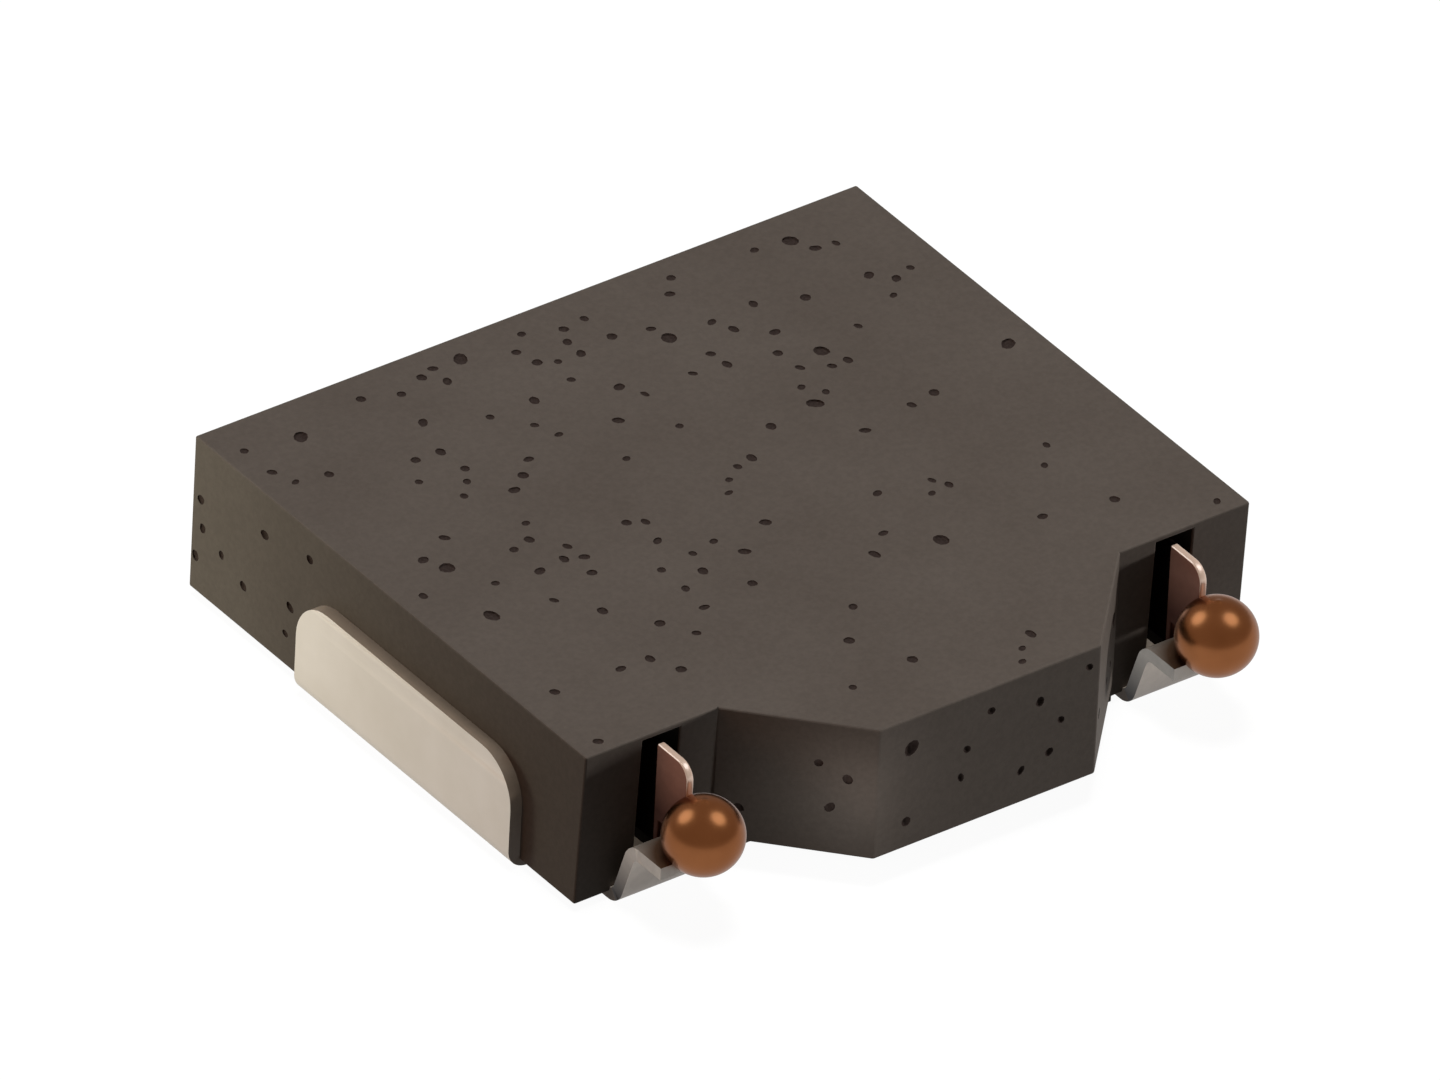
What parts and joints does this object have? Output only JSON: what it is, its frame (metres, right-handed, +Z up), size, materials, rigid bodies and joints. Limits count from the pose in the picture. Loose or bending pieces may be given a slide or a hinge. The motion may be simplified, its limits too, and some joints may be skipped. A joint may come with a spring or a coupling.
{
  "type": "shielded smd inductor",
  "caption": "Flat shielded power inductor for surface mounting: a wire coil pressed inside an iron-powder core, with folded sheet terminals welded to its wire ends.",
  "frame": {"origin": "middle of the bounding box's underside, on the solder plane", "axes": "+Z up from the solder plane, -Y towards the nose and the welded wire ends, +X to the right-hand terminal"},
  "size_m": [0.0054, 0.005, 0.0012],
  "materials": {
    "core": "matt pressed iron powder with fine pores",
    "wire": "flat enamelled copper wire",
    "terminal": "satin tin-plated copper sheet",
    "bead": "smooth re-solidified copper, glossy"
  },
  "bodies": {
    "root": {"core_body": "core", "coil_winding": "wire", "left_terminal": "terminal", "right_terminal": "terminal", "left_weld_bead": "bead", "right_weld_bead": "bead"}
  },
  "joints": []
}
